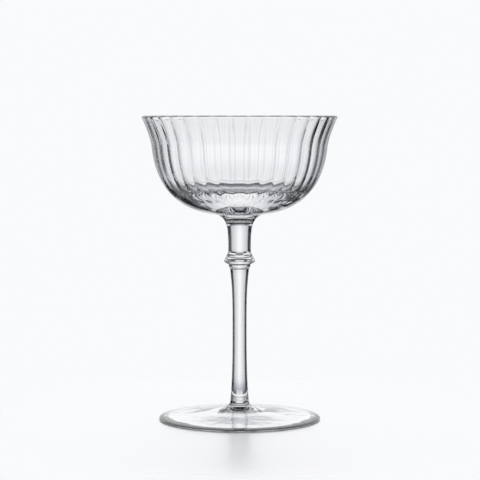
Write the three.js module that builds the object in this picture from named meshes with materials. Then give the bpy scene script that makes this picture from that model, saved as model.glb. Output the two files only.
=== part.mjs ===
// Cocktail glass in clear crystal: a fluted bowl on a trumpet neck, a ring knop, a slim shaft and a foot.
// Five gathers of glass, each a closed solid, stacked face to face at their fused seams.
// Millimetres, +Z up. The origin is the centre of the face that the foot rests on.
import * as THREE from 'three';

// Radii of the fused seams, shared by the two pieces that meet there
const BOWL_SEAT_RADIUS = 11.5;
const NECK_SEAT_RADIUS = 5.8;
const KNOP_SEAT_RADIUS = 5.4;
const SHAFT_SEAT_RADIUS = 4.9;

// Foot: a thin disc that rises to the shaft, with a rounded shoulder, hollow below, on a flat ring
const FOOT_HEIGHT = 8;
const FOOT_RADIUS = 40.5;
const FOOT_EDGE = 0.7;
const FOOT_EDGE_ROUND = 1.2;
const SHOULDER_INSET = 6;
const SHOULDER_HEIGHT = 1.95;
const SHOULDER_SLOPE = 0.09;
const SHOULDER_REACH = 20.5;
const FILLET_RADIUS = 7;
const FILLET_DROP = 3.3;
const REST_RING_WIDTH = 3.6;
const HOLLOW_DEPTH = 4.6;
const HOLLOW_FLAT = 6;
const HOLLOW_SLOPE = 0.088;
const HOLLOW_REACH = 25.7;

// Shaft: slim in the middle, flared to the foot, with a bead at its head
const SHAFT_HEIGHT = 70;
const SHAFT_RADIUS = 3.55;
const SHAFT_SLIM_HEIGHT = 35;
const SHAFT_FLARE_RADIUS = 3.85;
const SHAFT_FLARE_HEIGHT = 8;
const SHAFT_FLARE_REACH = 15;
const SHAFT_HEAD_RADIUS = 4.85;
const SHAFT_HEAD_DROP = 11;
const SHAFT_HEAD_REACH = 17.5;
const BEAD_HEIGHT = 1.8;
const BEAD_RADIUS = 5.65;

// Knop: a ring with a narrow round edge, undercut below and swept into the neck above
const KNOP_HEIGHT = 6.1;
const KNOP_RADIUS = 7.8;
const KNOP_EDGE = 0.9;
const KNOP_UNDERCUT = 1.5;
const KNOP_SWEEP_RADIUS = 6.5;
const KNOP_SWEEP_DROP = 1.6;

// Neck: slim at the knop, trumpet-shaped under the bowl
const NECK_HEIGHT = 19.1;
const NECK_RADIUS = 5.7;
const NECK_FOOT_ROUND = 1.4;
const NECK_REACH = 12.5;
const NECK_TRUMPET_RADIUS = 6.35;
const NECK_TRUMPET_DROP = 2.5;

// Bowl outside: round belly, slight waist, flared lip
const WAIST_HEIGHT = 33.5;
const FLARE_HEIGHT = 15.8;
const RIM_RADIUS = 48.85;
const RIM_FLARE = 0.44;
const RIM_REACH = 5.4;
const WAIST_RADIUS = 43.95;
const WAIST_TAPER = 0.113;
const WAIST_REACH_UP = 4.7;
const WAIST_REACH_DOWN = 14.7;
const BELLY_REACH = 24.1;
const BELLY_RISE = 2.45;

// Bowl inside: thin at the lip, solid at the base
const RIM_WALL = 1.2;
const LIP_ROUND = 0.5;
const WAIST_WALL = 2.2;
const BASE_THICKNESS = 6.75;
const FLOOR_INSET = 16.5;
const FLOOR_RISE = 3.6;
const FLOOR_SLOPE = 0.22;
const FLOOR_FLAT = 11.5;
const FLOOR_EASE = 4.1;
const FLOOR_REACH = 9.4;
const CAVITY_REACH_DOWN = 13.1;

// Flutes: scallops moulded round the inside wall, which die out across the floor
const FLUTES = 36;
const FLUTE_DEPTH = 0.6;
const FLUTE_RIM_DEPTH = 0.4;
const FLUTE_TOE_RADIUS = 12;
const FLUTE_HEEL_INSET = 2.95;
const FLUTE_FADE = 3;
const FLUTE_SHARPNESS = 1.5;

// Fineness of the facets
const FACETS_PER_FLUTE = 4;
const STEM_SIDES = 48;
const FOOT_SIDES = 72;

const BOWL_HEIGHT = WAIST_HEIGHT + FLARE_HEIGHT;
const FLOOR_RADIUS = WAIST_RADIUS - FLOOR_INSET;
const FLOOR_EDGE_HEIGHT = BASE_THICKNESS + FLOOR_RISE;
const FLUTE_HEEL_RADIUS = WAIST_RADIUS - FLUTE_HEEL_INSET;
const HALF_FLUTE_TURN = Math.PI / FLUTES;

const at = (radius, height) => new THREE.Vector2(radius, height);
const line = (...ends) => new THREE.LineCurve(...ends);
const arch = (...points) => new THREE.QuadraticBezierCurve(...points);
const sweep = (...points) => new THREE.CubicBezierCurve(...points);

// Joins curves into one outline of points. Each run is a curve and its number of steps.
function trace(...runs) {
  const start = runs[0][0].getPoint(0);
  return [start, ...runs.flatMap(([curve, steps]) => curve.getPoints(steps).slice(1))];
}

// Turns an outline round the +Z axis. It runs from the axis at the bottom, out, up and back to the axis.
function revolve(outline, sides) {
  return new THREE.LatheGeometry(outline, sides).rotateX(Math.PI / 2);
}

function footShape() {
  const ringOut = FOOT_RADIUS - FOOT_EDGE_ROUND;
  const ringIn = ringOut - REST_RING_WIDTH;
  const edge = at(FOOT_RADIUS, FOOT_EDGE);
  const shoulder = at(FOOT_RADIUS - SHOULDER_INSET, SHOULDER_HEIGHT);
  const brow = at(FOOT_RADIUS, SHOULDER_HEIGHT - SHOULDER_SLOPE * SHOULDER_INSET);
  const seat = at(SHAFT_SEAT_RADIUS, FOOT_HEIGHT);
  const outline = trace(
    [sweep(
      at(0, HOLLOW_DEPTH),
      at(HOLLOW_FLAT, HOLLOW_DEPTH),
      at(ringIn - HOLLOW_REACH, HOLLOW_SLOPE * HOLLOW_REACH),
      at(ringIn, 0),
    ), 5],
    [line(at(ringIn, 0), at(ringOut, 0)), 1],
    [arch(at(ringOut, 0), at(FOOT_RADIUS, 0), edge), 2],
    [arch(edge, brow, shoulder), 3],
    [sweep(
      shoulder,
      at(shoulder.x - SHOULDER_REACH, SHOULDER_HEIGHT + SHOULDER_SLOPE * SHOULDER_REACH),
      at(FILLET_RADIUS, FOOT_HEIGHT - FILLET_DROP),
      seat,
    ), 7],
    [line(seat, at(0, FOOT_HEIGHT)), 1],
  );
  return revolve(outline, FOOT_SIDES);
}

function shaftShape() {
  const slim = at(SHAFT_RADIUS, SHAFT_SLIM_HEIGHT);
  const head = at(SHAFT_HEAD_RADIUS, SHAFT_HEIGHT - BEAD_HEIGHT);
  const seat = at(KNOP_SEAT_RADIUS, SHAFT_HEIGHT);
  const outline = trace(
    [line(at(0, 0), at(SHAFT_SEAT_RADIUS, 0)), 1],
    [sweep(
      at(SHAFT_SEAT_RADIUS, 0),
      at(SHAFT_FLARE_RADIUS, SHAFT_FLARE_HEIGHT),
      at(SHAFT_RADIUS, SHAFT_SLIM_HEIGHT - SHAFT_FLARE_REACH),
      slim,
    ), 8],
    [sweep(
      slim,
      at(SHAFT_RADIUS, SHAFT_SLIM_HEIGHT + SHAFT_HEAD_REACH),
      at(SHAFT_RADIUS, head.y - SHAFT_HEAD_DROP),
      head,
    ), 7],
    [arch(head, at(BEAD_RADIUS, SHAFT_HEIGHT - BEAD_HEIGHT / 2), seat), 3],
    [line(seat, at(0, SHAFT_HEIGHT)), 1],
  );
  return revolve(outline, STEM_SIDES);
}

function knopShape() {
  const edgeFoot = at(KNOP_RADIUS, KNOP_UNDERCUT);
  const edgeTop = at(KNOP_RADIUS, KNOP_UNDERCUT + KNOP_EDGE);
  const seat = at(NECK_SEAT_RADIUS, KNOP_HEIGHT);
  const outline = trace(
    [line(at(0, 0), at(KNOP_SEAT_RADIUS, 0)), 1],
    [arch(at(KNOP_SEAT_RADIUS, 0), at(KNOP_RADIUS, KNOP_UNDERCUT / 2), edgeFoot), 3],
    [line(edgeFoot, edgeTop), 1],
    [arch(edgeTop, at(KNOP_SWEEP_RADIUS, KNOP_HEIGHT - KNOP_SWEEP_DROP), seat), 5],
    [line(seat, at(0, KNOP_HEIGHT)), 1],
  );
  return revolve(outline, STEM_SIDES);
}

function neckShape() {
  const slim = at(NECK_RADIUS, NECK_FOOT_ROUND);
  const seat = at(BOWL_SEAT_RADIUS, NECK_HEIGHT);
  const outline = trace(
    [line(at(0, 0), at(NECK_SEAT_RADIUS, 0)), 1],
    [arch(at(NECK_SEAT_RADIUS, 0), at(NECK_RADIUS, NECK_FOOT_ROUND / 2), slim), 2],
    [sweep(
      slim,
      at(NECK_RADIUS, NECK_FOOT_ROUND + NECK_REACH),
      at(NECK_TRUMPET_RADIUS, NECK_HEIGHT - NECK_TRUMPET_DROP),
      seat,
    ), 9],
    [line(seat, at(0, NECK_HEIGHT)), 1],
  );
  return revolve(outline, STEM_SIDES);
}

// The flare from the waist up to the foot of the round lip, alike inside and outside.
function flare(waistRadius, rimRadius) {
  const rimHeight = BOWL_HEIGHT - LIP_ROUND;
  return sweep(
    at(waistRadius, WAIST_HEIGHT),
    at(waistRadius + WAIST_TAPER * WAIST_REACH_UP, WAIST_HEIGHT + WAIST_REACH_UP),
    at(rimRadius - RIM_FLARE * RIM_REACH, rimHeight - RIM_REACH),
    at(rimRadius, rimHeight),
  );
}

// A quarter of the round lip, from the flare up to the crown of the rim.
function lip(flareRadius) {
  const crown = at(RIM_RADIUS - RIM_WALL / 2, BOWL_HEIGHT);
  return arch(at(flareRadius, BOWL_HEIGHT - LIP_ROUND), at(flareRadius, BOWL_HEIGHT), crown);
}

// The outside, traced from the axis up to the crown of the rim.
function bowlOutside() {
  return trace(
    [line(at(0, 0), at(BOWL_SEAT_RADIUS, 0)), 1],
    [sweep(
      at(BOWL_SEAT_RADIUS, 0),
      at(BOWL_SEAT_RADIUS + BELLY_REACH, BELLY_RISE),
      at(WAIST_RADIUS - WAIST_TAPER * WAIST_REACH_DOWN, WAIST_HEIGHT - WAIST_REACH_DOWN),
      at(WAIST_RADIUS, WAIST_HEIGHT),
    ), 7],
    [flare(WAIST_RADIUS, RIM_RADIUS), 4],
    [lip(RIM_RADIUS), 2],
  );
}

// The inside, traced from the axis up to the crown of the rim.
function bowlInside() {
  const waistIn = WAIST_RADIUS - WAIST_WALL;
  const rimIn = RIM_RADIUS - RIM_WALL;
  const floorEdge = at(FLOOR_RADIUS, FLOOR_EDGE_HEIGHT);
  return trace(
    [sweep(
      at(0, BASE_THICKNESS),
      at(FLOOR_FLAT, BASE_THICKNESS),
      at(FLOOR_RADIUS - FLOOR_EASE, FLOOR_EDGE_HEIGHT - FLOOR_SLOPE * FLOOR_EASE),
      floorEdge,
    ), 3],
    [sweep(
      floorEdge,
      at(FLOOR_RADIUS + FLOOR_REACH, FLOOR_EDGE_HEIGHT + FLOOR_SLOPE * FLOOR_REACH),
      at(waistIn - WAIST_TAPER * CAVITY_REACH_DOWN, WAIST_HEIGHT - CAVITY_REACH_DOWN),
      at(waistIn, WAIST_HEIGHT),
    ), 7],
    [flare(waistIn, rimIn), 4],
    [lip(rimIn), 2],
  );
}

// Depth of a flute at a point of the inside outline, and at a share of the way across from ridge to ridge.
function fluteDepth({ x: radius, y: height }, across) {
  const { clamp, lerp } = THREE.MathUtils;
  const scallop = Math.sin(Math.PI * across) ** FLUTE_SHARPNESS;
  const fromToe = clamp((radius - FLUTE_TOE_RADIUS) / (FLUTE_HEEL_RADIUS - FLUTE_TOE_RADIUS), 0, 1);
  const toRim = clamp((height - WAIST_HEIGHT) / FLARE_HEIGHT, 0, 1);
  return lerp(FLUTE_DEPTH, FLUTE_RIM_DEPTH, toRim) * scallop * fromToe ** FLUTE_FADE;
}

// The bowl is turned first. Then its inside is pressed into the glass, along its normal, to make the flutes.
function bowlShape() {
  const outside = bowlOutside();
  const outline = [...outside, ...bowlInside().reverse().slice(1)];
  const shape = new THREE.LatheGeometry(outline, FLUTES * FACETS_PER_FLUTE, HALF_FLUTE_TURN);
  const position = shape.attributes.position;
  for (let index = 0; index < position.count; index++) {
    const row = index % outline.length;
    const column = Math.floor(index / outline.length);
    const { x: radius, y: height } = outline[row];
    if (row < outside.length || radius === 0) continue;
    const across = (column % FACETS_PER_FLUTE) / FACETS_PER_FLUTE;
    const sunk = fluteDepth(outline[row], across);
    const along = outline[row - 1].clone().sub(outline[row + 1]).normalize();
    const grow = 1 + sunk * along.y / radius;
    position.setX(index, position.getX(index) * grow);
    position.setY(index, height - sunk * along.x);
    position.setZ(index, position.getZ(index) * grow);
  }
  return shape.rotateX(Math.PI / 2);
}

const glass = new THREE.Group();
let seatHeight = 0;

// Seats a piece on top of the ones below it.
function stack(name, shape, height) {
  const clear = { color: 0xf2f6f8, roughness: 0.03, metalness: 0, transparent: true, opacity: 0.35 };
  const piece = new THREE.Mesh(shape, new THREE.MeshStandardMaterial(clear));
  piece.name = name;
  piece.position.z = seatHeight;
  glass.add(piece);
  seatHeight += height;
}

stack('foot', footShape(), FOOT_HEIGHT);
stack('shaft', shaftShape(), SHAFT_HEIGHT);
stack('knop', knopShape(), KNOP_HEIGHT);
stack('neck', neckShape(), NECK_HEIGHT);
stack('bowl', bowlShape(), BOWL_HEIGHT);

export default glass;
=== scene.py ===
"""Cocktail glass in clear crystal on a pale floor: five gathers of glass, fused at their seams."""
import math

import bmesh
import bpy
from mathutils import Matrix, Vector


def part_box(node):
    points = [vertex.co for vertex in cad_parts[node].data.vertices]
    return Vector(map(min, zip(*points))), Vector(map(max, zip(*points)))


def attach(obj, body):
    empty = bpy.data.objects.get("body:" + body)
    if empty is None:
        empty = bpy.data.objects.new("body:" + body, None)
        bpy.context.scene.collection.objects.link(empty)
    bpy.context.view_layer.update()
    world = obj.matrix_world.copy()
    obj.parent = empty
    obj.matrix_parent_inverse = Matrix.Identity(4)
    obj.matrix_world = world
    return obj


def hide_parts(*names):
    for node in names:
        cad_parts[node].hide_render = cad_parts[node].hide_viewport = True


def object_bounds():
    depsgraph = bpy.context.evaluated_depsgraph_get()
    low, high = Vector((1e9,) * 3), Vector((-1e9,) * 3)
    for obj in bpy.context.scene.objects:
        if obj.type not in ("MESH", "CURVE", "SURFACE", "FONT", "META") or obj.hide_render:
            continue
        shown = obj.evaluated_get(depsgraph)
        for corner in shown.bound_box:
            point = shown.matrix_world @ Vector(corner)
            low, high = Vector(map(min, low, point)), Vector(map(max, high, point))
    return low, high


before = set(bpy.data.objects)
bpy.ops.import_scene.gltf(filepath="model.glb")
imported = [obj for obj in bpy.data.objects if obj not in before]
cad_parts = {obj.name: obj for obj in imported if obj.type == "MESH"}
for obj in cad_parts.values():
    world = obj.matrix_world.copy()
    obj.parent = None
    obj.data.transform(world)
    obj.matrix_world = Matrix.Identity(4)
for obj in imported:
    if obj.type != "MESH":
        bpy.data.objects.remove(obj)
cad_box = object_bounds()

MM = 0.001

# Camera, at rim height, in metres
LENS_MM = 135
SENSOR_MM = 36
CAMERA_DISTANCE = 0.9
CAMERA_SIDE = 0.0002
CAMERA_TILT = math.radians(3.953)

# Floor and backdrop
BACKDROP = (0.947, 0.956, 0.973)
FLOOR_COLOUR = (0.97, 0.978, 0.99)
FLOOR_RADIUS = 0.17
FLOOR_FADE_START = 0.10
FLOOR_ROUGHNESS = 0.35
FLOOR_SHEEN = 0.95

# Ring of the floor that shows through the edge of the foot: radii of its soft inner and outer border
RING_START = (0.037, 0.039)
RING_END = (0.046, 0.052)

# Light seen through the glass: level by heading from +Y toward +X, and by height, in degrees
TONES = ((0, (0.008, 0.009, 0.012)), (0.35, (0.32, 0.345, 0.385)), (0.62, (0.575, 0.595, 0.63)),
         (1, BACKDROP))
GLOSS_HEIGHTS = ((4, 1), (12, 0))
BACK_HEADINGS = ((-36, 0), (-33, 0.5), (-13, 0.8), (-3, 1), (3, 1), (13, 0.8), (33, 0.5), (36, 0))
BACK_HEIGHTS = ((-15, 0), (-11, 1), (18, 1), (25, 0))
LOW_HEADINGS = ((-18, 0), (-13, 1), (13, 1), (18, 0))
LOW_HEIGHTS = ((-30, 0), (-20, 1), (-15, 1), (-11, 0))
REAR_HEADINGS = ((-76, 1), (-68, 0), (90, 0), (110, 1))
REAR_HEIGHTS = ((-34, 0), (-20, 1), (20, 1), (30, 0))
DEEP_HEADINGS = ((-180, 1), (180, 1))
DEEP_HEIGHTS = ((-72, 1), (-60, 0))
CORNER_HEADINGS = ((-61, 0), (-57, 0.5), (-50, 0.9), (-48, 1), (-42, 1), (-40, 0.9), (-33, 0.5), (-29, 0))
CORNER_HEIGHTS = ((-44, 0), (-38, 1), (-19, 1), (-15, 0))
PANELS = ((BACK_HEADINGS, BACK_HEIGHTS), (LOW_HEADINGS, LOW_HEIGHTS), (REAR_HEADINGS, REAR_HEIGHTS),
          (DEEP_HEADINGS, DEEP_HEIGHTS), (CORNER_HEADINGS, CORNER_HEIGHTS))

# Radii of the fused seams, in millimetres, as all sizes of the glass below
BOWL_SEAT_RADIUS = 11.5
NECK_SEAT_RADIUS = 5.8
KNOP_SEAT_RADIUS = 5.4
SHAFT_SEAT_RADIUS = 4.9

# Foot
FOOT_EDGE = 0.7
FOOT_EDGE_ROUND = 1.2
SHOULDER_INSET = 6
SHOULDER_HEIGHT = 1.95
SHOULDER_SLOPE = 0.09
SHOULDER_REACH = 20.5
FILLET_RADIUS = 7
FILLET_DROP = 3.3
REST_RING_WIDTH = 3.6
HOLLOW_DEPTH = 4.6
HOLLOW_FLAT = 6
HOLLOW_SLOPE = 0.088
HOLLOW_REACH = 25.7

# Shaft
SHAFT_RADIUS = 3.55
SHAFT_SLIM_HEIGHT = 35
SHAFT_FLARE_RADIUS = 3.85
SHAFT_FLARE_HEIGHT = 8
SHAFT_FLARE_REACH = 15
SHAFT_HEAD_RADIUS = 4.85
SHAFT_HEAD_DROP = 11
SHAFT_HEAD_REACH = 17.5
BEAD_HEIGHT = 1.8
BEAD_RADIUS = 5.65

# Knop
KNOP_RADIUS = 7.8
KNOP_EDGE = 0.2
KNOP_UNDERCUT = 1.9
KNOP_SWEEP_RADIUS = 6.5
KNOP_SWEEP_DROP = 1.6

# Neck
NECK_RADIUS = 5.7
NECK_FOOT_ROUND = 1.4
NECK_REACH = 12.5
NECK_TRUMPET_RADIUS = 6.35
NECK_TRUMPET_DROP = 2.5

# Bowl outside
FLARE_HEIGHT = 15.8
RIM_FLARE = 0.44
RIM_REACH = 5.4
WAIST_RADIUS = 43.95
WAIST_TAPER = 0.113
WAIST_REACH_UP = 4.7
WAIST_REACH_DOWN = 14.7
BELLY_REACH = 24.1
BELLY_RISE = 2.45

# Bowl inside
RIM_WALL = 1.5
LIP_ROUND = 1
WAIST_WALL = 2.2
BASE_THICKNESS = 6.75
FLOOR_INSET = 16.5
FLOOR_RISE = 3.6
FLOOR_SLOPE = 0.22
FLOOR_FLAT = 11.5
FLOOR_EASE = 4.1
FLOOR_REACH = 9.4
CAVITY_REACH_DOWN = 13.1

# Flutes
FLUTES = 36
FLUTE_DEPTH = 0.48
FLUTE_RIM_DEPTH = 0.36
FLUTE_TOE_RADIUS = 12
FLUTE_HEEL_RADIUS = 41
FLUTE_FADE = 3
FLUTE_SHARPNESS = 1.1
FLUTE_TURN = math.radians(5)

# Glass: colour seen straight on, painted shade that darkens its edges at a glance in place of dark
# surroundings bent into view, where that shade begins and is full, and how it bends light
GLASS_COLOUR = (0.994, 0.997, 1)
EDGE_SHADE_COLOUR = (0.25, 0.26, 0.28)
EDGE_SHADE_START = 0.5
EDGE_SHADE_FULL = 0.85
GLASS_IOR = 1.52

# Waviness of the glass: waves per metre across and along the stem, and their height in metres
WAVES_ACROSS = 110
WAVES_ALONG = 10
WAVE_HEIGHT = 0.0001

# Fineness: sides of each round piece, and steps of each curve in its outline
FACETS_PER_FLUTE = 14
STEM_SIDES = 144
FOOT_SIDES = 288
FLOOR_SIDES = 96
HOLLOW_STEPS = 60
RING_STEPS = 4
FOOT_EDGE_STEPS = 10
SHOULDER_STEPS = 24
FOOT_TOP_STEPS = 80
SHAFT_STEPS = 40
BEAD_STEPS = 12
KNOP_UNDERCUT_STEPS = 12
KNOP_EDGE_STEPS = 3
KNOP_SWEEP_STEPS = 20
NECK_ROUND_STEPS = 8
NECK_STEPS = 60
BELLY_STEPS = 60
FLARE_STEPS = 36
LIP_STEPS = 6
INNER_FLOOR_STEPS = 40
CAVITY_STEPS = 70

# How often light may pass or turn in the glass
BOUNCES = 32
GLOSS_BOUNCES = 16


def height_of(node):
    """Height of a node in millimetres."""
    low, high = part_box(node)
    return (high[2] - low[2]) / MM


def base_of(node):
    """Height of a node's lowest face, in metres."""
    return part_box(node)[0][2]


def radius_of(node):
    """Largest radius of a node in millimetres."""
    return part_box(node)[1][0] / MM


def line(start, end, steps=1):
    return [tuple(a + (b - a) * i / steps for a, b in zip(start, end)) for i in range(steps + 1)]


def arch(start, knee, end, steps):
    """Points on a quadratic curve."""
    points = []
    for i in range(steps + 1):
        t = i / steps
        weights = ((1 - t) ** 2, 2 * t * (1 - t), t ** 2)
        points.append(tuple(sum(w * p[k] for w, p in zip(weights, (start, knee, end))) for k in (0, 1)))
    return points


def sweep(start, leave, arrive, end, steps):
    """Points on a cubic curve."""
    points = []
    for i in range(steps + 1):
        t = i / steps
        weights = ((1 - t) ** 3, 3 * t * (1 - t) ** 2, 3 * t ** 2 * (1 - t), t ** 3)
        corners = (start, leave, arrive, end)
        points.append(tuple(sum(w * p[k] for w, p in zip(weights, corners)) for k in (0, 1)))
    return points


def join(*runs):
    points = [runs[0][0]]
    for run in runs:
        points.extend(run[1:])
    return points


def turn(name, outline, sides, base, seams=(), push=None, first=0.0):
    """A closed mesh turned round +Z. Rows numbered in seams carry the seam finish up to the next row."""
    shape = bmesh.new()
    rings = []
    for row, (radius, height) in enumerate(outline):
        z = base + height * MM
        if radius < 1e-6:
            rings.append([shape.verts.new((0, 0, z))])
            continue
        ring = []
        for column in range(sides):
            angle = first + math.tau * column / sides
            out, up = push(row, column) if push else (0, 0)
            grown = (radius + out) * MM
            ring.append(shape.verts.new((grown * math.cos(angle), grown * math.sin(angle), z + up * MM)))
        rings.append(ring)
    for row, (low, high) in enumerate(zip(rings, rings[1:])):
        for column in range(sides):
            after = (column + 1) % sides
            if len(low) == 1:
                corners = (low[0], high[after], high[column])
            elif len(high) == 1:
                corners = (low[column], low[after], high[0])
            else:
                corners = (low[column], low[after], high[after], high[column])
            face = shape.faces.new(corners)
            face.smooth = True
            face.material_index = 1 if row in seams else 0
    for edge in shape.edges:
        kinds = {face.material_index for face in edge.link_faces}
        edge.smooth = len(kinds) == 1
    mesh = bpy.data.meshes.new(name)
    shape.to_mesh(mesh)
    shape.free()
    piece = bpy.data.objects.new(name, mesh)
    bpy.context.collection.objects.link(piece)
    return piece


def foot_piece():
    ring_out = radius_of("foot") - FOOT_EDGE_ROUND
    ring_in = ring_out - REST_RING_WIDTH
    top = height_of("foot")
    rim = radius_of("foot")
    shoulder = (rim - SHOULDER_INSET, SHOULDER_HEIGHT)
    outline = join(
        sweep((0, HOLLOW_DEPTH), (HOLLOW_FLAT, HOLLOW_DEPTH),
              (ring_in - HOLLOW_REACH, HOLLOW_SLOPE * HOLLOW_REACH), (ring_in, 0), HOLLOW_STEPS),
        line((ring_in, 0), (ring_out, 0), RING_STEPS),
        arch((ring_out, 0), (rim, 0), (rim, FOOT_EDGE), FOOT_EDGE_STEPS),
        arch((rim, FOOT_EDGE), (rim, SHOULDER_HEIGHT - SHOULDER_SLOPE * SHOULDER_INSET), shoulder,
             SHOULDER_STEPS),
        sweep(shoulder, (shoulder[0] - SHOULDER_REACH, SHOULDER_HEIGHT + SHOULDER_SLOPE * SHOULDER_REACH),
              (FILLET_RADIUS, top - FILLET_DROP), (SHAFT_SEAT_RADIUS, top), FOOT_TOP_STEPS),
        line((SHAFT_SEAT_RADIUS, top), (0, top)),
    )
    return turn("hollow_foot", outline, FOOT_SIDES, base_of("foot"), seams=(len(outline) - 2,))


def shaft_piece():
    top = height_of("shaft")
    slim = (SHAFT_RADIUS, SHAFT_SLIM_HEIGHT)
    head = (SHAFT_HEAD_RADIUS, top - BEAD_HEIGHT)
    outline = join(
        line((0, 0), (SHAFT_SEAT_RADIUS, 0)),
        sweep((SHAFT_SEAT_RADIUS, 0), (SHAFT_FLARE_RADIUS, SHAFT_FLARE_HEIGHT),
              (SHAFT_RADIUS, SHAFT_SLIM_HEIGHT - SHAFT_FLARE_REACH), slim, SHAFT_STEPS),
        sweep(slim, (SHAFT_RADIUS, SHAFT_SLIM_HEIGHT + SHAFT_HEAD_REACH),
              (SHAFT_RADIUS, head[1] - SHAFT_HEAD_DROP), head, SHAFT_STEPS),
        arch(head, (BEAD_RADIUS, top - BEAD_HEIGHT / 2), (KNOP_SEAT_RADIUS, top), BEAD_STEPS),
        line((KNOP_SEAT_RADIUS, top), (0, top)),
    )
    return turn("slim_shaft", outline, STEM_SIDES, base_of("shaft"), seams=(0, len(outline) - 2))


def knop_piece():
    top = height_of("knop")
    edge_foot = (KNOP_RADIUS, KNOP_UNDERCUT)
    edge_top = (KNOP_RADIUS, KNOP_UNDERCUT + KNOP_EDGE)
    outline = join(
        line((0, 0), (KNOP_SEAT_RADIUS, 0)),
        arch((KNOP_SEAT_RADIUS, 0), (KNOP_RADIUS, KNOP_UNDERCUT / 2), edge_foot, KNOP_UNDERCUT_STEPS),
        line(edge_foot, edge_top, KNOP_EDGE_STEPS),
        arch(edge_top, (KNOP_SWEEP_RADIUS, top - KNOP_SWEEP_DROP), (NECK_SEAT_RADIUS, top), KNOP_SWEEP_STEPS),
        line((NECK_SEAT_RADIUS, top), (0, top)),
    )
    return turn("ring_knop", outline, STEM_SIDES, base_of("knop"), seams=(0, len(outline) - 2))


def neck_piece():
    top = height_of("neck")
    slim = (NECK_RADIUS, NECK_FOOT_ROUND)
    seat = (BOWL_SEAT_RADIUS, top)
    outline = join(
        line((0, 0), (NECK_SEAT_RADIUS, 0)),
        arch((NECK_SEAT_RADIUS, 0), (NECK_RADIUS, NECK_FOOT_ROUND / 2), slim, NECK_ROUND_STEPS),
        sweep(slim, (NECK_RADIUS, NECK_FOOT_ROUND + NECK_REACH),
              (NECK_TRUMPET_RADIUS, top - NECK_TRUMPET_DROP), seat, NECK_STEPS),
        line(seat, (0, top)),
    )
    return turn("trumpet_neck", outline, STEM_SIDES, base_of("neck"), seams=(0, len(outline) - 2))


def bowl_piece():
    top = height_of("bowl")
    rim = radius_of("bowl")
    waist_height = top - FLARE_HEIGHT
    floor_radius = WAIST_RADIUS - FLOOR_INSET
    floor_edge = BASE_THICKNESS + FLOOR_RISE
    waist_in = WAIST_RADIUS - WAIST_WALL
    rim_in = rim - RIM_WALL
    crown = (rim - RIM_WALL / 2, top)

    def flare(waist, lip):
        return sweep((waist, waist_height),
                     (waist + WAIST_TAPER * WAIST_REACH_UP, waist_height + WAIST_REACH_UP),
                     (lip - RIM_FLARE * RIM_REACH, top - LIP_ROUND - RIM_REACH),
                     (lip, top - LIP_ROUND), FLARE_STEPS)

    def lip(radius):
        return arch((radius, top - LIP_ROUND), (radius, top), crown, LIP_STEPS)

    outside = join(
        line((0, 0), (BOWL_SEAT_RADIUS, 0)),
        sweep((BOWL_SEAT_RADIUS, 0), (BOWL_SEAT_RADIUS + BELLY_REACH, BELLY_RISE),
              (WAIST_RADIUS - WAIST_TAPER * WAIST_REACH_DOWN, waist_height - WAIST_REACH_DOWN),
              (WAIST_RADIUS, waist_height), BELLY_STEPS),
        flare(WAIST_RADIUS, rim),
        lip(rim),
    )
    inside = join(
        sweep((0, BASE_THICKNESS), (FLOOR_FLAT, BASE_THICKNESS),
              (floor_radius - FLOOR_EASE, floor_edge - FLOOR_SLOPE * FLOOR_EASE),
              (floor_radius, floor_edge), INNER_FLOOR_STEPS),
        sweep((floor_radius, floor_edge),
              (floor_radius + FLOOR_REACH, floor_edge + FLOOR_SLOPE * FLOOR_REACH),
              (waist_in - WAIST_TAPER * CAVITY_REACH_DOWN, waist_height - CAVITY_REACH_DOWN),
              (waist_in, waist_height), CAVITY_STEPS),
        flare(waist_in, rim_in),
        lip(rim_in),
    )
    outline = outside + inside[::-1][1:]

    def push(row, column):
        """How far the inside is pushed into the glass along its own normal, out and up, to make a flute."""
        if row < len(outside) or row == len(outline) - 1:
            return 0, 0
        radius, height = outline[row]
        before, after = outline[row - 1], outline[row + 1]
        run = (before[0] - after[0], before[1] - after[1])
        length = math.hypot(*run)
        across = (column % FACETS_PER_FLUTE) / FACETS_PER_FLUTE
        scallop = math.sin(math.pi * across) ** FLUTE_SHARPNESS
        to_rim = min(1, max(0, (height - waist_height) / FLARE_HEIGHT))
        from_toe = min(1, max(0, (radius - FLUTE_TOE_RADIUS) / (FLUTE_HEEL_RADIUS - FLUTE_TOE_RADIUS)))
        share = from_toe ** FLUTE_FADE
        depth = FLUTE_DEPTH + (FLUTE_RIM_DEPTH - FLUTE_DEPTH) * to_rim
        sunk = depth * share * scallop
        return sunk * run[1] / length, -sunk * run[0] / length

    return turn("fluted_bowl", outline, FLUTES * FACETS_PER_FLUTE, base_of("bowl"), seams=(0,), push=push,
                first=-math.pi / 2 + FLUTE_TURN)


def crystal_finish(name):
    """Clear glass with the slight waviness of hand-finished crystal."""
    finish = bpy.data.materials.new(name)
    finish.use_nodes = True
    nodes = finish.node_tree.nodes
    links = finish.node_tree.links
    shader = nodes["Principled BSDF"]
    shader.inputs["Base Color"].default_value = (*GLASS_COLOUR, 1)
    shader.inputs["Roughness"].default_value = 0.0
    shader.inputs["IOR"].default_value = GLASS_IOR
    shader.inputs["Transmission Weight"].default_value = 1.0
    coordinates = nodes.new("ShaderNodeTexCoord")
    stretch = nodes.new("ShaderNodeMapping")
    stretch.inputs["Scale"].default_value = (WAVES_ACROSS, WAVES_ACROSS, WAVES_ALONG)
    waves = nodes.new("ShaderNodeTexNoise")
    waves.inputs["Scale"].default_value = 1
    waves.inputs["Detail"].default_value = 1
    bump = nodes.new("ShaderNodeBump")
    bump.inputs["Strength"].default_value = 1
    bump.inputs["Distance"].default_value = WAVE_HEIGHT
    links.new(coordinates.outputs["Object"], stretch.inputs["Vector"])
    links.new(stretch.outputs["Vector"], waves.inputs["Vector"])
    links.new(waves.outputs["Fac"], bump.inputs["Height"])
    links.new(bump.outputs["Normal"], shader.inputs["Normal"])
    return finish


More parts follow.
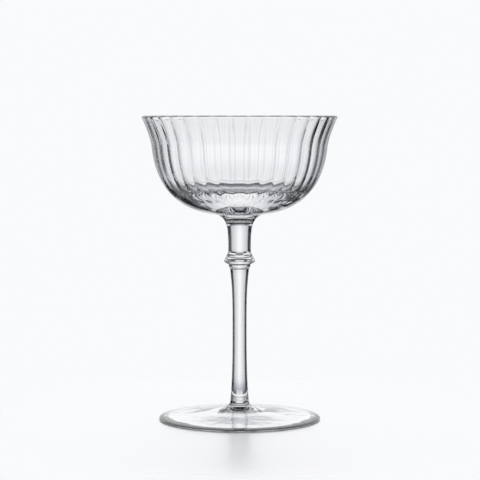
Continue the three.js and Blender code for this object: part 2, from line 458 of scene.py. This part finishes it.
def edge_shaded_finish():
    """The clear glass, with painted shade that darkens its edges where it is seen at a glance."""
    finish = crystal_finish("edge_shaded_crystal")
    nodes = finish.node_tree.nodes
    links = finish.node_tree.links
    # Painted shade: a ramp on the facing angle turns the base colour dark where the surface is seen at a
    # glance, so the edges look dark in any light
    facing = nodes.new("ShaderNodeLayerWeight")
    facing.inputs["Blend"].default_value = 0.5
    tone = nodes.new("ShaderNodeValToRGB")
    straight, glance = tone.color_ramp.elements
    straight.position = EDGE_SHADE_START
    straight.color = (*GLASS_COLOUR, 1)
    glance.position = EDGE_SHADE_FULL
    glance.color = (*EDGE_SHADE_COLOUR, 1)
    links.new(facing.outputs["Facing"], tone.inputs["Fac"])
    links.new(tone.outputs["Color"], nodes["Principled BSDF"].inputs["Base Color"])
    return finish


def seam_finish():
    """A fused seam, which light crosses as if it weren't there."""
    finish = bpy.data.materials.new("fused_seam")
    finish.use_nodes = True
    nodes = finish.node_tree.nodes
    shader = nodes["Principled BSDF"]
    shader.inputs["Alpha"].default_value = 0.0
    return finish


def floor_piece():
    """A round pale floor with a soft sheen, which fades into the backdrop."""
    shape = bmesh.new()
    bmesh.ops.create_circle(shape, cap_ends=True, radius=FLOOR_RADIUS, segments=FLOOR_SIDES)
    mesh = bpy.data.meshes.new("floor")
    shape.to_mesh(mesh)
    shape.free()
    floor = bpy.data.objects.new("floor", mesh)
    bpy.context.collection.objects.link(floor)

    finish = bpy.data.materials.new("pale_floor")
    finish.use_nodes = True
    nodes = finish.node_tree.nodes
    links = finish.node_tree.links
    shader = nodes["Principled BSDF"]
    shader.inputs["Base Color"].default_value = (*FLOOR_COLOUR, 1)
    shader.inputs["Roughness"].default_value = FLOOR_ROUGHNESS
    shader.inputs["Metallic"].default_value = FLOOR_SHEEN
    coordinates = nodes.new("ShaderNodeTexCoord")
    length = nodes.new("ShaderNodeVectorMath")
    length.operation = "LENGTH"
    links.new(coordinates.outputs["Object"], length.inputs[0])

    def fade(start, end):
        ramp = nodes.new("ShaderNodeMapRange")
        ramp.interpolation_type = "SMOOTHSTEP"
        ramp.inputs["From Min"].default_value = start
        ramp.inputs["From Max"].default_value = end
        ramp.inputs["To Min"].default_value = 1
        ramp.inputs["To Max"].default_value = 0
        links.new(length.outputs["Value"], ramp.inputs["Value"])
        return ramp.outputs["Result"]

    ring = nodes.new("ShaderNodeMath")
    ring.operation = "SUBTRACT"
    links.new(fade(*RING_END), ring.inputs[0])
    links.new(fade(*RING_START), ring.inputs[1])
    path = nodes.new("ShaderNodeLightPath")
    reach = nodes.new("ShaderNodeMix")
    links.new(path.outputs["Is Transmission Ray"], reach.inputs["Factor"])
    links.new(fade(FLOOR_FADE_START, FLOOR_RADIUS), reach.inputs["A"])
    links.new(ring.outputs[0], reach.inputs["B"])
    clear = nodes.new("ShaderNodeBsdfTransparent")
    faded = nodes.new("ShaderNodeMixShader")
    links.new(reach.outputs["Result"], faded.inputs["Fac"])
    links.new(clear.outputs["BSDF"], faded.inputs[1])
    links.new(shader.outputs["BSDF"], faded.inputs[2])
    links.new(faded.outputs["Shader"], nodes["Material Output"].inputs["Surface"])
    mesh.materials.append(finish)
    return floor


def studio_world():
    """White all round for the floor and gloss. Through the glass show lit panels with dark between."""
    world = bpy.data.worlds.new("studio")
    bpy.context.scene.world = world
    world.use_nodes = True
    world.cycles.sampling_method = "NONE"
    nodes = world.node_tree.nodes
    links = world.node_tree.links
    background = nodes["Background"]
    background.inputs["Strength"].default_value = 1

    def sums(operation, first, second):
        node = nodes.new("ShaderNodeMath")
        node.operation = operation
        for slot, value in zip(node.inputs, (first, second)):
            if isinstance(value, (int, float)):
                slot.default_value = value
            else:
                links.new(value, slot)
        return node.outputs[0]

    def level(angle, stops):
        """Brightness at an angle in degrees, from a list of angles and levels."""
        ramp = nodes.new("ShaderNodeValToRGB")
        links.new(sums("ADD", sums("DIVIDE", angle, 360), 0.5), ramp.inputs["Fac"])
        points = ramp.color_ramp.elements
        while len(points) < len(stops):
            points.new(0.5)
        for point, (degrees, share) in zip(points, stops):
            point.position = degrees / 360 + 0.5
            point.color = (share, share, share, 1)
        return ramp.outputs["Color"]

    direction = nodes.new("ShaderNodeTexCoord")
    parts = nodes.new("ShaderNodeSeparateXYZ")
    links.new(direction.outputs["Generated"], parts.inputs[0])
    heading = sums("DEGREES", sums("ARCTAN2", parts.outputs["X"], parts.outputs["Y"]), 0)
    height = sums("DEGREES", sums("ARCSINE", parts.outputs["Z"], 0), 0)
    lit = 0
    for headings, heights in PANELS:
        lit = sums("MAXIMUM", lit, sums("MULTIPLY", level(heading, headings), level(height, heights)))

    panels = nodes.new("ShaderNodeValToRGB")
    links.new(lit, panels.inputs["Fac"])
    tones = panels.color_ramp.elements
    while len(tones) < len(TONES):
        tones.new(0.5)
    for tone, (share, colour) in zip(tones, TONES):
        tone.position = share
        tone.color = (*colour, 1)

    path = nodes.new("ShaderNodeLightPath")
    plain = nodes.new("ShaderNodeMix")
    plain.data_type = "RGBA"
    plain.inputs["A"].default_value = (1, 1, 1, 1)
    plain.inputs["B"].default_value = (*BACKDROP, 1)
    links.new(path.outputs["Is Camera Ray"], plain.inputs["Factor"])
    seen = nodes.new("ShaderNodeMix")
    seen.data_type = "RGBA"
    gloss = sums("MULTIPLY", path.outputs["Is Glossy Ray"], level(height, GLOSS_HEIGHTS))
    links.new(sums("MAXIMUM", path.outputs["Is Transmission Ray"], gloss), seen.inputs["Factor"])
    links.new(plain.outputs["Result"], seen.inputs["A"])
    links.new(panels.outputs["Color"], seen.inputs["B"])
    links.new(seen.outputs["Result"], background.inputs["Color"])


def camera_at_rim():
    lens = bpy.data.cameras.new("camera")
    lens.lens = LENS_MM
    lens.sensor_width = SENSOR_MM
    camera = bpy.data.objects.new("camera", lens)
    camera.location = (CAMERA_SIDE, -CAMERA_DISTANCE, cad_box[1][2])
    camera.rotation_euler = (math.pi / 2 - CAMERA_TILT, 0, 0)
    bpy.context.collection.objects.link(camera)
    bpy.context.scene.camera = camera


camera_at_rim()
studio_world()
floor_piece()

clear_glass = crystal_finish("clear_crystal")
edge_shaded_glass = edge_shaded_finish()
seam = seam_finish()
# Shaft, knop, neck and bowl take the glass with painted edge shade; the foot takes the plain clear glass
for node, piece, glass in (
    ("foot", foot_piece(), clear_glass),
    ("shaft", shaft_piece(), edge_shaded_glass),
    ("knop", knop_piece(), edge_shaded_glass),
    ("neck", neck_piece(), edge_shaded_glass),
    ("bowl", bowl_piece(), edge_shaded_glass),
):
    piece.data.materials.append(glass)
    piece.data.materials.append(seam)
    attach(piece, "root")
    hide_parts(node)

scene = bpy.context.scene
scene.view_settings.view_transform = "Standard"
scene.cycles.max_bounces = BOUNCES
scene.cycles.transmission_bounces = BOUNCES
scene.cycles.glossy_bounces = GLOSS_BOUNCES
scene.cycles.transparent_max_bounces = BOUNCES
